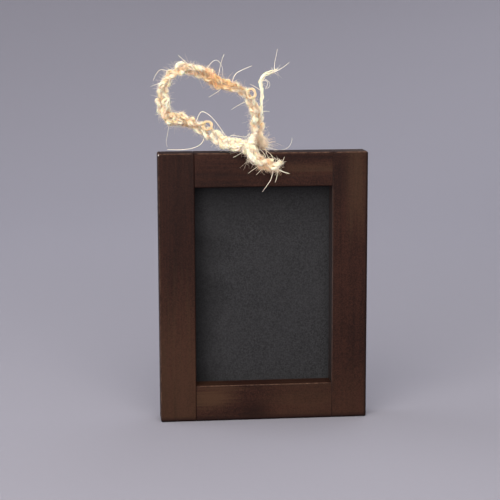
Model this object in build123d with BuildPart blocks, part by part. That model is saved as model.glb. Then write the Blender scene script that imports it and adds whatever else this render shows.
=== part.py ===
"""Small framed slate writing board with a hanging loop of chained hemp twine.

Millimetres. +Z is up, the writing side faces -Y, and the origin is under the middle of the lower edge.
"""
import os
from math import pi, radians, tan

from build123d import *

# Frame
board_width = 134.0
board_height = 174.0
board_thickness = 18.0
stile_width = 23.0
top_rail_width = 22.0
bottom_rail_width = 23.5
outer_arris = 1.3
inner_arris = 0.8

# Panel in the rebate behind the frame
rebate_lap = 6.0
panel_clearance = 0.5
slate_thickness = 3.0
slate_edge_chamfer = 0.5
card_thickness = 1.5

# Framer's points, two on each side of the rebate
point_thickness = 0.5
point_width = 7.0
point_grip = 4.0
point_tongue = 6.0
point_taper = 2.5
point_setback = 0.5
kerf_clearance = 0.05
side_point_spacing = 84.0
end_point_spacing = 46.0

# Dowels, two in each corner joint
dowel_diameter = 6.0
dowel_spacing = 11.0
dowel_in_stile = 14.0
dowel_in_rail = 16.0
dowel_chamfer = 0.8
dowel_clearance = 0.1
dowel_end_gap = 0.6

# Twine and the hole that it is threaded through
twine_diameter = 6.5
yarn_diameter = 2.2
cord_hole_x = 3.5
cord_hole_drop = 7.8
cord_hole_clearance = 0.3
hole_front_round = 0.5
hole_back_round = 2.6
mouth_land = 0.2
hole_stub = 0.5
leg_turn_radius = 8.0
swing_y = 5.8
swing_rise = 14.0
swing_clearance = 0.3
end_rounding = 0.95
bend_share = 0.45

# Planes and levels that the pieces share
front = -board_thickness / 2
back = board_thickness / 2
inner_x = board_width / 2 - stile_width
opening_low = bottom_rail_width
opening_high = board_height - top_rail_width
rebate_depth = slate_thickness + card_thickness + point_thickness + point_setback
slate_front = back - rebate_depth
card_front = slate_front + slate_thickness
point_front = card_front + card_thickness
rebate_x = inner_x + rebate_lap
rebate_low = opening_low - rebate_lap
rebate_high = opening_high + rebate_lap
rebate_middle = (rebate_low + rebate_high) / 2
panel_width = 2 * (rebate_x - panel_clearance)
panel_height = rebate_high - rebate_low - 2 * panel_clearance
rail_length = 2 * inner_x
dowel_y = (front + slate_front) / 2
top_rail_z = board_height - top_rail_width / 2
bottom_rail_z = bottom_rail_width / 2
twine_radius = twine_diameter / 2
cord_hole_radius = twine_radius + cord_hole_clearance
cord_hole_z = board_height - cord_hole_drop
back_mouth_round = min(hole_back_round, cord_hole_drop - outer_arris - cord_hole_radius - mouth_land)

os.makedirs("parts", exist_ok=True)


def point_outline(spare):
    """Pointed tab along +X: its grip goes into the wood and its tongue lies over the card."""
    half = point_width / 2 + spare
    shoulder = point_grip - point_taper
    Polygon(
        (-point_tongue, -half),
        (shoulder, -half),
        (point_grip + spare, 0),
        (shoulder, half),
        (-point_tongue, half),
        align=None,
    )


def point_places():
    """Planes on the rebate wall at each point, with +X into the wood and +Z to the back."""
    side = side_point_spacing / 2
    end = end_point_spacing / 2
    spots = []
    for step in (-1, 1):
        spots.append((rebate_x, rebate_middle + step * side, (1, 0, 0)))
        spots.append((-rebate_x, rebate_middle + step * side, (-1, 0, 0)))
        spots.append((step * end, rebate_high, (0, 0, 1)))
        spots.append((step * end, rebate_low, (0, 0, -1)))
    return [Plane(origin=(x, point_front, z), x_dir=inward, z_dir=(0, 1, 0)) for x, z, inward in spots]


def cut_kerfs():
    """Cut the thin pockets for the points into the piece that is being made."""
    with BuildSketch(*[place.offset(-kerf_clearance) for place in point_places()]) as kerfs:
        point_outline(kerf_clearance)
    extrude(kerfs.sketch, amount=point_thickness + 2 * kerf_clearance, mode=Mode.SUBTRACT)


def drill_for_dowels(x, side, rail_z, depth):
    """Drill a corner joint's two holes into the face at x, whose outward side is +1 or -1 along X."""
    for step in (-0.5, 0.5):
        mouth = (x, dowel_y, rail_z + step * dowel_spacing)
        with Locations(Plane(origin=mouth, z_dir=(side, 0, 0))):
            Hole(dowel_diameter / 2 + dowel_clearance, depth=depth + dowel_end_gap)


# Left stile: full height and eased all round, with a stopped rebate
with BuildPart() as left_stile:
    with BuildSketch(Plane.XY):
        with Locations((-inner_x - stile_width / 2, 0)):
            Rectangle(stile_width, board_thickness)
    extrude(amount=board_height)
    fillet(left_stile.edges().filter_by(Axis.Z).group_by(Axis.X)[0], radius=outer_arris)
    joint_face = left_stile.faces().sort_by(Axis.X)[-1]
    fillet(left_stile.faces().filter_by(Axis.Z).edges() - joint_face.edges(), radius=outer_arris)
    fillet(left_stile.faces().sort_by(Axis.X)[-1].edges(), radius=inner_arris)
    with BuildSketch(Plane.XZ.offset(-slate_front)):
        with Locations((-rebate_x + rebate_lap / 2, rebate_middle)):
            Rectangle(rebate_lap, rebate_high - rebate_low)
    extrude(amount=-rebate_depth, mode=Mode.SUBTRACT)
    for rail_z in (top_rail_z, bottom_rail_z):
        drill_for_dowels(-inner_x, 1, rail_z, dowel_in_stile)
    cut_kerfs()
left_stile.part.label = "left_stile"
export_step(left_stile.part, "parts/left_stile.step")

# Right stile: the left one mirrored
with BuildPart() as right_stile:
    mirror(left_stile.part, about=Plane.YZ)
right_stile.part.label = "right_stile"
export_step(right_stile.part, "parts/right_stile.step")


def rail_blank(outer_z, inner_z):
    """Rail between the stiles, with a through rebate behind its opening edge."""
    lap_z = inner_z + (rebate_lap if outer_z > inner_z else -rebate_lap)
    with BuildSketch(Plane.YZ) as section:
        Polygon(
            (front, outer_z),
            (back, outer_z),
            (back, lap_z),
            (slate_front, lap_z),
            (slate_front, inner_z),
            (front, inner_z),
            align=None,
        )
    extrude(section.sketch, amount=rail_length / 2, both=True)


# Top rail: threaded by the twine, whose hole is eased more at the back, where the twine turns up
with BuildPart() as top_rail:
    rail_blank(board_height, opening_high)
    levels = top_rail.edges().filter_by(Axis.X).group_by(Axis.Z)
    fillet(levels[-1], radius=outer_arris)
    fillet(levels[0].sort_by(Axis.Y)[0], radius=inner_arris)
    with Locations(Plane(origin=(cord_hole_x, front, cord_hole_z), z_dir=(0, -1, 0))):
        Hole(cord_hole_radius)
    mouths = top_rail.edges().filter_by(GeomType.CIRCLE).sort_by(Axis.Y)
    fillet(mouths[0], radius=hole_front_round)
    fillet(mouths[-1], radius=back_mouth_round)
    for end in (-1, 1):
        drill_for_dowels(end * inner_x, end, top_rail_z, dowel_in_rail)
    cut_kerfs()
top_rail.part.label = "top_rail"
export_step(top_rail.part, "parts/top_rail.step")

# Bottom rail
with BuildPart() as bottom_rail:
    rail_blank(0, opening_low)
    levels = bottom_rail.edges().filter_by(Axis.X).group_by(Axis.Z)
    fillet(levels[0], radius=outer_arris)
    fillet(levels[-1].sort_by(Axis.Y)[0], radius=inner_arris)
    for end in (-1, 1):
        drill_for_dowels(end * inner_x, end, bottom_rail_z, dowel_in_rail)
    cut_kerfs()
bottom_rail.part.label = "bottom_rail"
export_step(bottom_rail.part, "parts/bottom_rail.step")

# Dowels, a pair for each corner
for height_name, rail_z in (("top", top_rail_z), ("bottom", bottom_rail_z)):
    for side_name, start in (("left", -inner_x - dowel_in_stile), ("right", inner_x - dowel_in_rail)):
        with BuildPart() as dowels:
            with BuildSketch(Plane.YZ.offset(start)):
                with Locations((dowel_y, rail_z - dowel_spacing / 2), (dowel_y, rail_z + dowel_spacing / 2)):
                    Circle(dowel_diameter / 2)
            extrude(amount=dowel_in_stile + dowel_in_rail)
            chamfer(dowels.edges().filter_by(GeomType.CIRCLE), length=dowel_chamfer)
        dowels.part.label = f"{height_name}_{side_name}_dowels"
        export_step(dowels.part, f"parts/{height_name}_{side_name}_dowels.step")

# Slate, bearing on the rebate's shoulder
with BuildPart() as slate_panel:
    with BuildSketch(Plane.XZ.offset(-slate_front)):
        with Locations((0, rebate_middle)):
            Rectangle(panel_width, panel_height)
    extrude(amount=-slate_thickness)
    chamfer(slate_panel.faces().sort_by(Axis.Y)[0].edges(), length=slate_edge_chamfer)
slate_panel.part.label = "slate_panel"
export_step(slate_panel.part, "parts/slate_panel.step")

# Card that cushions the slate from the points
with BuildPart() as backing_card:
    with BuildSketch(Plane.XZ.offset(-card_front)):
        with Locations((0, rebate_middle)):
            Rectangle(panel_width, panel_height)
    extrude(amount=-card_thickness)
backing_card.part.label = "backing_card"
export_step(backing_card.part, "parts/backing_card.step")

# Framer's points
with BuildPart() as framers_points:
    with BuildSketch(*point_places()):
        point_outline(0)
    extrude(amount=point_thickness)
framers_points.part.label = "framers_points"
export_step(framers_points.part, "parts/framers_points.step")


def over_top(x, y, rise):
    """Point given by its rise over the board's top edge."""
    return Vector(x, y, board_height + rise)


def moved(point, toward, distance):
    """The point moved by a distance toward another point, or away from it if negative."""
    return point + (toward - point).normalized() * distance


def bend_radii(route):
    """The largest arc at each corner that the shorter run beside it allows."""
    radii = []
    for before, corner, after in zip(route, route[1:], route[2:]):
        run = min((corner - before).length, (after - corner).length)
        turn = (corner - before).get_angle(after - corner)
        radii.append(bend_share * run / tan(radians(turn / 2)))
    return radii


def twine_tube(name, route, radii, diameter):
    """Round-ended tube along the route, whose bends have the given radii."""
    with BuildPart() as tube:
        with BuildLine() as line:
            FilletPolyline(*route, radius=radii)
        path = line.wire()
        with BuildSketch(Plane(origin=path @ 0, z_dir=path % 0)):
            Circle(diameter / 2)
        sweep()
        swept = tube.part.volume
        fillet(tube.faces().filter_by(GeomType.PLANE).edges(), radius=end_rounding * diameter / 2)
    plain = pi * (diameter / 2) ** 2 * path.length
    print(name, "length", round(path.length, 1), "volume over section times length", round(swept / plain, 4))
    print(name, "radii", [round(radius, 1) for radius in radii])
    tube.part.label = name
    export_step(tube.part, f"parts/{name}.step")


# Pivots where the loop bends over the top edge, one in each leg
left_pivot = over_top(-35.0, swing_y, swing_rise)
right_pivot = over_top(-2.2, swing_y, swing_rise)

# Front tail: across the face of the top rail, over its front arris and along the top edge
tail_route = [
    over_top(11.8, front - 4.0, -6.3),
    over_top(5.7, front - 4.2, -7.8),
    over_top(-0.7, front - 4.2, -6.2),
    over_top(-5.8, front - 4.2, -2.3),
    over_top(-9.5, front - 2.9, 2.5),
    over_top(-13.0, front + 2.5, 5.4),
    over_top(-18.6, front + 7.5, 5.8),
    over_top(-25.2, 3.0, 7.3),
]
tail_route.append(moved(left_pivot, tail_route[-1], twine_radius + swing_clearance))
twine_tube("twine_tail", tail_route, bend_radii(tail_route), twine_diameter)

# Loop, from the left leg round to the right leg
loop_route = [
    over_top(-40.0, 5.3, 18.0),
    over_top(-48.1, 4.0, 20.8),
    over_top(-59.0, 3.0, 23.8),
    over_top(-65.1, 2.0, 31.9),
    over_top(-64.2, 1.5, 42.3),
    over_top(-57.7, 1.0, 50.5),
    over_top(-46.3, 1.0, 54.5),
    over_top(-34.8, 1.5, 49.7),
    over_top(-23.9, 2.0, 42.7),
    over_top(-12.3, 2.5, 39.8),
    over_top(-7.1, 3.0, 31.1),
    over_top(-3.1, 4.0, 21.5),
]
loop_route.insert(0, moved(left_pivot, loop_route[0], -twine_radius))
loop_route.append(moved(right_pivot, loop_route[-1], -twine_radius))
twine_tube("twine_loop", loop_route, bend_radii(loop_route), twine_diameter)

# Back leg: from the right pivot down behind the rail and forward through its hole
hole_turn_radius = back_mouth_round + cord_hole_clearance + twine_radius
back_route = [
    Vector(cord_hole_x, front - hole_stub, cord_hole_z),
    Vector(cord_hole_x, back + cord_hole_clearance + twine_radius, cord_hole_z),
    over_top(2.6, back + 4.2, 2.0),
]
back_route.append(moved(right_pivot, back_route[-1], twine_radius + swing_clearance))
twine_tube("twine_back_leg", back_route, [hole_turn_radius, leg_turn_radius], twine_diameter)

# Loose yarn end that stands up beside the right leg
yarn_route = [
    over_top(1.7, 4.2, 19.0),
    over_top(0.9, 4.0, 25.5),
    over_top(0.0, 3.5, 34.0),
    over_top(-0.4, 3.4, 40.6),
    over_top(1.2, 3.0, 46.4),
    over_top(4.8, 2.6, 49.5),
    over_top(8.9, 2.5, 50.5),
]
twine_tube("yarn_end", yarn_route, bend_radii(yarn_route), yarn_diameter)
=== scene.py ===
"""Slate writing board: stained wooden frame, honed slate and a hanging loop of chained hemp twine.

Laid out as an add-on and run as a script. Metres, in the part's own frame: +Z is up and the
writing side faces -Y.
"""

import math
from functools import lru_cache, reduce

import bpy
import numpy as np
from bpy.props import FloatProperty, FloatVectorProperty, IntProperty, PointerProperty
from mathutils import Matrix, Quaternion, Vector
from mathutils.kdtree import KDTree


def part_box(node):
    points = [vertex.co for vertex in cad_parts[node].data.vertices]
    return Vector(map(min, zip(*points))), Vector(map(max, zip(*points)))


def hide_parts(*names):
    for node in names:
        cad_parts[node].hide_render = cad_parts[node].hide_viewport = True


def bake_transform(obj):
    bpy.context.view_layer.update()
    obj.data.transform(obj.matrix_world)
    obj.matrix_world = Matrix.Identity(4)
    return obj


bl_info = {
    "name": "Slate Writing Board",
    "version": (1, 0, 0),
    "blender": (4, 5, 0),
    "location": "3D View > Sidebar > Slate Board",
    "description": "Finishes a framed slate board and works its hanging loop of hemp twine",
    "category": "Object",
}

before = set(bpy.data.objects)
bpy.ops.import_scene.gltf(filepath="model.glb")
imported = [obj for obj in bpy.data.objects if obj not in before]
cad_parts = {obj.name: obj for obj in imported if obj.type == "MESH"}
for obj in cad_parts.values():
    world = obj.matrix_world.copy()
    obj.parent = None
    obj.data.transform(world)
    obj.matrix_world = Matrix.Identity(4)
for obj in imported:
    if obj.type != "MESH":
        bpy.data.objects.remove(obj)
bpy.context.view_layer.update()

BOARD_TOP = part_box("left_stile")[1].z
BOARD_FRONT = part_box("left_stile")[0].y
BOARD_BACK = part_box("left_stile")[1].y


def metres(points):
    """Points that are given in millimetres."""
    return [tuple(part / 1000.0 for part in point) for point in points]


# Twine: through the hole from the front, up the back, round the loop and over the front arris to the tail
TWINE_ROUTE = metres([
    (3.5, -9.5, 166.2), (3.5, 12.55, 166.2), (-0.8, 13.0, 176.5), (-2.4, 5.8, 188.0),
    (-3.2, 4.0, 196.0), (-6.4, 3.0, 205.0), (-10.4, 2.5, 212.8), (-24.0, 2.0, 216.2),
    (-34.2, 1.5, 222.6), (-46.5, 1.0, 228.4), (-57.8, 1.0, 223.2), (-64.6, 1.5, 216.0),
    (-63.2, 2.0, 205.5), (-61.8, 3.0, 194.5), (-49.0, 4.0, 193.8), (-40.5, 4.8, 189.6),
    (-34.5, 4.0, 185.8), (-26.2, -1.5, 180.2), (-19.8, -10.0, 177.5),
    (-13.2, -12.4, 178.8), (-9.2, -13.7, 176.5), (-5.8, -13.2, 171.7), (-0.7, -13.2, 167.8),
    (5.7, -13.2, 166.2), (10.4, -13.0, 167.9),
])

# Loose yarn end beside the right leg
YARN_END_ROUTE = metres([
    (-1.4, 6.6, 192.8), (0.3, 4.6, 197.0), (-0.3, 3.4, 203.8), (0.5, 3.2, 211.0), (-1.2, 3.0, 218.0),
    (1.8, 2.7, 222.8), (6.2, 2.5, 224.0), (9.5, 2.5, 225.3),
])

# Tying strand: from the right leg down in front of the left leg, then beside the tail
TIE_ROUTE = metres([
    (-2.6, 4.5, 188.5), (-5.2, -4.0, 185.2), (-8.8, -11.8, 180.8), (-10.6, -16.4, 176.2),
    (-9.0, -17.8, 172.2), (-5.8, -17.2, 169.0), (-2.0, -15.0, 167.2),
])

# Yarn ends bundled in the tail
TAIL_ROUTE = metres([
    (-6.0, -12.2, 172.0), (-3.0, -12.4, 168.5), (2.0, -12.8, 165.8), (6.6, -13.4, 165.7),
    (10.6, -13.5, 168.3),
])

# Loose loops of yarn that stand open on the chain: middle, half width, half height, first angle
LOOSE_LOOPS = [
    ((-0.0071, -0.0015, 0.2107), 0.0027, 0.0031, 1.9),
    ((-0.0351, 0.0000, 0.1907), 0.0029, 0.0027, 2.6),
]

# One stitch of the chain: along in pitches, across and out in spreads, and how far the yarn puffs out
STITCH = [
    (0.02, -0.20, -0.80, 0.80),
    (0.00, -0.55, 0.05, 0.70),
    (0.25, -0.85, 0.95, 1.00),
    (0.70, -1.85, 0.80, 1.50),
    (1.10, -1.10, 0.20, 1.15),
    (1.45, -0.45, -0.25, 0.70),
    (1.45, 0.45, -0.25, 0.70),
    (1.10, 1.10, 0.20, 1.15),
    (0.70, 1.85, 0.80, 1.50),
    (0.25, 0.85, 0.95, 1.00),
    (0.00, 0.55, 0.05, 0.70),
    (0.10, 0.20, -0.95, 0.85),
    (0.45, 0.15, -1.45, 1.25),
    (0.80, -0.15, -1.10, 0.95),
]

# Work of the chain: share of the twine's length, size of the stitches, thickness of the yarn, paleness
CHAIN_WORK = [
    # Paleness at shares 0.11 to 0.19, the right leg behind the tie, is raised as painted light where the leg
    # lies in the tie's shadow
    (0.00, 0.80, 0.85, 0.40), (0.11, 1.10, 1.05, 0.65), (0.15, 1.25, 1.05, 0.65), (0.19, 1.25, 1.05, 0.72),
    (0.24, 1.05, 1.00, 0.82), (0.27, 0.80, 0.60, 0.70), (0.30, 1.10, 0.58, 0.65), (0.33, 0.85, 0.80, 0.45),
    (0.37, 0.95, 1.15, 0.28), (0.39, 1.10, 1.25, 0.25), (0.42, 1.10, 1.05, 0.60), (0.46, 1.10, 1.00, 0.70),
    (0.49, 0.98, 0.92, 0.75), (0.53, 0.80, 0.90, 0.82), (0.58, 0.90, 0.94, 0.90), (0.61, 1.50, 1.14, 0.88),
    (0.65, 1.75, 1.25, 0.72), (0.68, 1.40, 1.14, 0.58), (0.71, 0.75, 0.90, 0.56), (0.74, 1.15, 0.58, 0.62),
    (0.77, 0.90, 0.68, 0.90), (0.80, 1.10, 1.10, 0.95), (0.84, 1.50, 1.20, 0.90), (0.88, 1.30, 1.15, 0.80),
    (0.92, 1.20, 1.15, 0.70), (0.95, 1.20, 1.20, 0.50), (0.98, 0.95, 1.15, 0.70), (1.00, 0.80, 0.95, 0.95),
]

# Frayed places: where the fibres are rooted from and to, which way they head, how many, length, paleness
BRUSHES = [
    ((-0.0036, 0.0000, 0.1795), (-0.0026, 0.0010, 0.1880), (0.30, -0.10, -0.80), 60, 0.0050, 0.36),
    ((-0.0022, -0.0010, 0.1775), (-0.0008, 0.0000, 0.1838), (0.85, -0.15, -0.55), 130, 0.0084, 0.55),
    ((-0.0040, -0.0150, 0.1660), (0.0085, -0.0150, 0.1645), (0.1, -0.2, -1.0), 210, 0.0029, 0.30),
    ((0.0070, -0.0135, 0.1650), (0.0102, -0.0135, 0.1680), (0.9, -0.1, 0.2), 45, 0.0024, 0.85),
    ((0.0040, 0.0026, 0.2232), (0.0085, 0.0025, 0.2248), (0.9, 0.0, 0.35), 26, 0.0042, 0.90),
    ((-0.0010, 0.0030, 0.2170), (0.0005, 0.0030, 0.2205), (0.6, -0.1, -0.7), 14, 0.0040, 0.90),
    ((-0.0180, -0.0060, 0.1755), (-0.0120, -0.0100, 0.1750), (0.2, -0.3, -1.0), 40, 0.0026, 0.80),
]

# Paler and darker patches on each piece of wood: middle across and up, half width, half height, and how much
# paler or darker
WOOD_PATCHES = {
    # The left stile is darker toward its top and paler toward its foot
    "left_stile": [(-0.056, 0.150, 0.030, 0.075, -0.45), (-0.056, 0.010, 0.030, 0.085, 0.36)],
    "right_stile": [(0.060, 0.155, 0.008, 0.042, 0.40), (0.050, 0.160, 0.005, 0.030, -0.40),
                    (0.054, 0.006, 0.024, 0.034, 0.16)],
    "top_rail": [(0.030, 0.1635, 0.034, 0.0045, 0.35), (0.030, 0.1710, 0.040, 0.0030, -0.55),
                 (-0.030, 0.160, 0.024, 0.010, -0.40)],
    "bottom_rail": [(-0.034, 0.0150, 0.020, 0.0110, 0.62), (-0.006, 0.0060, 0.014, 0.0080, -0.70),
                    (0.028, 0.012, 0.034, 0.016, 0.28)],
}

# Marks on the stain, a painted glint, chalk-dust grey, painted shadow at the foot and painted shade on the
# right outer arris: whose colour, how strong, middle, half size on each axis
# Painted shadow along the foot of the frame, where it meets the floor
PAINTED_FOOT_SHADOW = ("dark_stain_and_shade", 0.95, (0.0, 0.0, 0.0), (1.0, 1.0, 0.0032))
MARKS = {
    # The left stile: painted shadow at its foot and a painted glint at its top-left front corner
    "left_stile": [PAINTED_FOOT_SHADOW, ("painted_glint", 1.0, (-0.0671, -0.0088, 0.1730), (0.0009, 0.0016, 0.0008))],
    "right_stile": [PAINTED_FOOT_SHADOW, ("slate_dust", 0.45, (0.0440, -0.0020, 0.0870), (0.0008, 0.0140, 0.1000)),
                    # Painted shade along the right stile's outer front arris
                    ("dark_stain_and_shade", 0.95, (0.0670, -0.0090, 0.0870), (0.0022, 0.0022, 0.2000))],
    "bottom_rail": [PAINTED_FOOT_SHADOW],
}

# Long stray fibres, in millimetres: radius, then the points from the root in the twine to the tip
STRAYS = [
    (0.36, [(-35.5, 4, 188), (-37, 1, 180.5), (-42.5, -3, 177), (-51.5, -8, 176), (-61, -9, 176.5)]),
    (0.18, [(-58.5, 3, 195), (-60.5, 2, 184), (-61.5, 1, 180), (-60.5, 0, 177.5)]),
    (0.28, [(-44.5, 1, 227.5), (-49, 0.5, 231.5), (-53, 0, 235)]),
    (0.26, [(-57.5, 2, 224.5), (-63.5, 2, 227), (-67, 2, 224), (-69, 2, 219)]),
    (0.30, [(-42, 3, 192.5), (-40, 1, 199.5), (-36.5, 0, 199.5), (-31.5, -1, 195.5), (-26.5, -2, 188.5),
            (-24, -3, 184.5)]),
    (0.28, [(-19, 2, 217), (-18, 2, 222.5), (-13, 2, 225.5), (-6.5, 2, 228)]),
    (0.26, [(-24.5, 2, 216), (-26, 2, 213.5), (-29.5, 2, 211), (-34, 2, 208.5)]),
    (0.22, [(-9, 3, 206), (-14, 3, 204), (-19.5, 3, 200.5)]),
    (0.28, [(0, 3.5, 212), (-4, 3, 215), (-7.5, 3, 216.5)]),
    (0.24, [(0.5, 2.5, 218.5), (2.5, 1.8, 219), (4, 1.5, 217.5), (3, 1.5, 215), (2.2, 1.5, 213.5)]),
    (0.18, [(0.5, 4, 199), (2.5, 3, 199.5), (5, 3, 199)]),
    (0.36, [(5.5, -13, 165), (4.5, -14, 158.5), (2.5, -14, 155), (-1.5, -13, 149.5)]),
    (0.32, [(8.5, -13, 165), (8, -14, 158.5), (6.5, -14, 155.5)]),
    (0.38, [(7.5, -13.5, 164), (11, -15, 162), (15.5, -15, 161)]),
    (0.28, [(-2, -13, 167), (-6, -14.5, 165), (-10.5, -14, 161.5)]),
    (0.24, [(-1, -13, 166), (-3, -14.5, 162.5), (-5.5, -14, 160.5)]),
    (0.22, [(11, -13, 168), (12, -14, 170), (12.5, -14, 171.5)]),
    (0.16, [(-0.5, -3, 176), (2, -8, 174.8), (5, -12, 172), (7.5, -14, 169.5)]),
    (0.20, [(-2.5, -6, 176), (0.5, -11.2, 173.5), (0.8, -13.5, 171)]),
    (0.18, [(1.5, -7.5, 174.8), (1.5, -12.5, 172.2), (3.5, -14.5, 169.7)]),
    (0.18, [(4, -10.5, 173.3), (5.2, -13.5, 171.2), (5.5, -14.5, 169.2)]),
    (0.20, [(8, 2.5, 224.5), (8, 2.5, 228.5), (9, 2.5, 233.5), (10, 2.5, 238.5)]),
    (0.20, [(8, 2.5, 224.2), (13, 2.5, 226), (17.5, 2.5, 230)]),
    (0.18, [(1, 2.5, 220), (5, 1, 218.5), (5, 1, 214.5), (2.5, 1, 213.5)]),
    (0.18, [(-36, 1, 224.5), (-33, 0, 230), (-29, 0, 232.5), (-26, 0, 229.5), (-24.5, 0.5, 224.5),
            (-26, 1, 219)]),
    (0.20, [(-28, 0.5, 220.5), (-26, 0, 232.5), (-24, 0, 235.5)]),
    (0.23, [(-22.5, -3, 181.5), (-21.5, -5, 185.5), (-15, -6, 184), (-10.5, -6, 183.5), (-8.5, -5, 186)]),
    (0.18, [(-64.5, 2, 217.5), (-67, 2, 217), (-70.5, 2, 215.5)]),
    (0.24, [(-13, -12, 175.5), (-16.5, -13.5, 173), (-20, -13, 171.5)]),
    (0.18, [(1, 12.5, 177), (9, 12.5, 173.5), (16.5, 11.5, 173.5), (20.5, 10.5, 178),
            (20.5, 10.5, 181.5)]),
]

# Sockets of the mix node when it blends colours
MIX_SHARE, MIX_FIRST, MIX_SECOND, MIX_RESULT = 0, 6, 7, 2

# Wear stops this far from a joint, and painted shade darkens the slate under the top rail and beside the
# left stile over these heights and widths
JOINT_HALF_WIDTH = 0.002
SHADE_UNDER_RAIL = (0.153, 0.116)
SHADE_BESIDE_STILE = (-0.044, -0.022)

# Tones that no setting changes
CARD_FLECK = (0.09, 0.07, 0.05)
BEECH_FLECK = (0.25, 0.13, 0.06)
ZINC_DARK = (0.30, 0.31, 0.32)
ZINC_PALE = (0.55, 0.56, 0.57)

# Strands of a yarn: twist, place aside and radius in diameters, each as a middle, a drift and its length
STRAND_SIDES = 6
STRAND_TWIST = (0.0, 0.8, 0.010)
STRAND_ASIDE = (0.27, 0.08, 0.007)
STRAND_RADIUS = (0.20, 0.05, 0.005)

# Lay of the fibres, for the hemp's streaks: round a strand, along it, its radius, from strand to strand
LAY_ROUND, LAY_ALONG, LAY_RADIUS, LAY_APART = 2.6, 260.0, 3.0, 9.0

# Painted shade in the chain's crevices: a yarn's own stretch and the least gap in diameters, depth of the
# painted shade, outer radius
OWN_STRETCH, CREVICE_GAP = 2.2, 0.45
CREVICE_DEPTH = 0.25
CHAIN_SURFACE = 0.0036

# Unevenness of the chain: roll, size and place of a stitch, drift of its points, slubs in the yarn
ROLL_KEPT, ROLL_TAKEN = 0.70, 0.75
STITCH_MIDDLE = 0.7
STITCH_SIZES = (0.66, 1.28)
STITCH_ASIDE, POINT_DRIFT = 0.4, 0.24
YARN_SINK = 0.6
YARN_SLUBS = (1.0, 0.12, 0.02)
SLUB, TIE_SLUB_RUN, LOOP_SLUB_RUN = 0.12, 0.0022, 0.0016

# Yarns beside the chain: shares of the length, or places, and the swell, fray or paleness there
TIE_SWELL = (0.0, 0.3, 0.6, 1.0), (0.5, 1.2, 1.8, 1.3)
LOOP_SWELL, LOOP_SUNK = 0.72, 0.0030
TAIL_DIAMETER = 0.0040
TAIL_SWELL = (0.0, 0.3, 0.7, 0.85, 1.0), (0.7, 1.0, 1.05, 0.75, 0.65)
TAIL_FRAY = (0.0, 0.85, 1.0), (1.0, 1.0, 1.35)
# The tail grows paler with height, as painted light on its top
TAIL_PALE = (0.1655, 0.1695), (0.25, 0.85)
YARN_END_DIAMETER = 0.0026
YARN_END_SWELL = (0.0, 0.25, 0.6, 0.72, 0.85, 1.0), (0.6, 0.85, 1.0, 1.15, 0.9, 0.6)
YARN_END_FRAY = (0.0, 0.75, 1.0), (1.0, 1.0, 1.9)
YARN_END_PALE = (0.003, 0.010), (0.45, 0.9)

# Fibres: taper, how many, radii, clearance of the wood, and how the fuzz, the hair and the brushes lie
FIBRE_TIP = 0.45
SQUARE_CENTIMETRES = 1e4  # in a square metre
FUZZ_PER_HAIR, STRAY_POINTS = 3, 24
FIBRE_RADII, BRUSH_RADII = (0.00005, 0.00010), (0.00007, 0.00014)
WOOD_CLEARANCE = 0.0001
FUZZ_LEAN, FUZZ_CURL = (0.25, 1.3), 0.45
FUZZ_LENGTH, FUZZ_LONGEST, FUZZ_ROOT = 0.0018, 0.0042, 0.44
HAIR_RUN, HAIR_TURN = (0.003, 0.010), 1.4
HAIR_LIFT, HAIR_ROOT = (0.05, 0.45), 0.42
BRUSH_ROOT, BRUSH_FAN, BRUSH_CURL = 0.0005, 0.45, 0.35
BRUSH_LENGTHS = (0.35, 1.15)

# Soft lights: place, aim, size and colour
BOARD_MIDDLE = (0.0, 0.0, 0.11)
LIGHTS = [
    ("key", (-0.25, -1.12, 0.74), BOARD_MIDDLE, 1.7, (1.0, 0.96, 0.90)),
    ("side", (-0.70, -1.05, 0.30), BOARD_MIDDLE, 0.30, (1.0, 0.95, 0.88)),
    ("top", (0.1, -0.25, 1.5), BOARD_MIDDLE, 1.3, (0.93, 0.96, 1.0)),
    ("back", (-0.1, 1.0, 0.8), (0.0, 1.6, 0.05), 0.8, (0.97, 0.97, 1.0)),
    ("rear", (0.75, 1.0, 0.9), (0.35, 0.55, 0.0), 1.2, (0.95, 0.97, 1.0)),
    ("left", (-1.1, 0.3, 0.8), (-0.3, 0.2, 0.0), 1.0, (0.97, 0.97, 1.0)),
    ("right", (1.3, 0.2, 0.14), BOARD_MIDDLE, 0.3, (1.0, 0.96, 0.90)),
]
AIR_COLOUR, AIR_STRENGTH = (0.78, 0.80, 0.86), 0.22
CAMERA_AIM = (-0.00766, 0.00437, 0.10966)


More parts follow.
